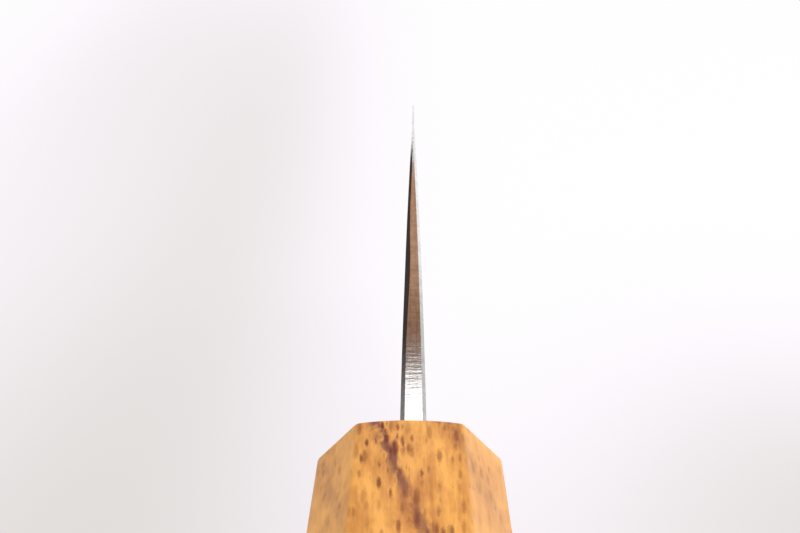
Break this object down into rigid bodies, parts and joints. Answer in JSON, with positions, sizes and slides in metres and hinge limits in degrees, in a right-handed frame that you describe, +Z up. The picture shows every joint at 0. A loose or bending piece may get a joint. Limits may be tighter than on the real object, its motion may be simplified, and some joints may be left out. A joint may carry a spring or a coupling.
{
  "type": "bunka knife",
  "caption": "Kitchen knife with a tall laminated blade, straight spine and angled clipped tip, on a one-piece octagonal wooden handle over a hidden tang.",
  "frame": {"origin": "centre of the handle's flat butt end", "axes": "+Y along the handle from butt to tip, +Z up at the spine with the cutting edge down, X through the blade's thickness"},
  "size_m": [0.022, 0.317, 0.0531],
  "materials": {
    "core_steel": "fine satin, brighter at the edge bevel",
    "cladding_steel": "satin with fine grinding marks",
    "handle_wood": "orange-tan open-pored wood with dark pores, thin satin lacquer",
    "resin": "dark hardened resin"
  },
  "bodies": {
    "root": {"core_steel": "core_steel", "left_cladding": "cladding_steel", "right_cladding": "cladding_steel", "handle": "handle_wood", "tang_bedding": "resin", "mouth_seal": "resin"}
  },
  "joints": []
}
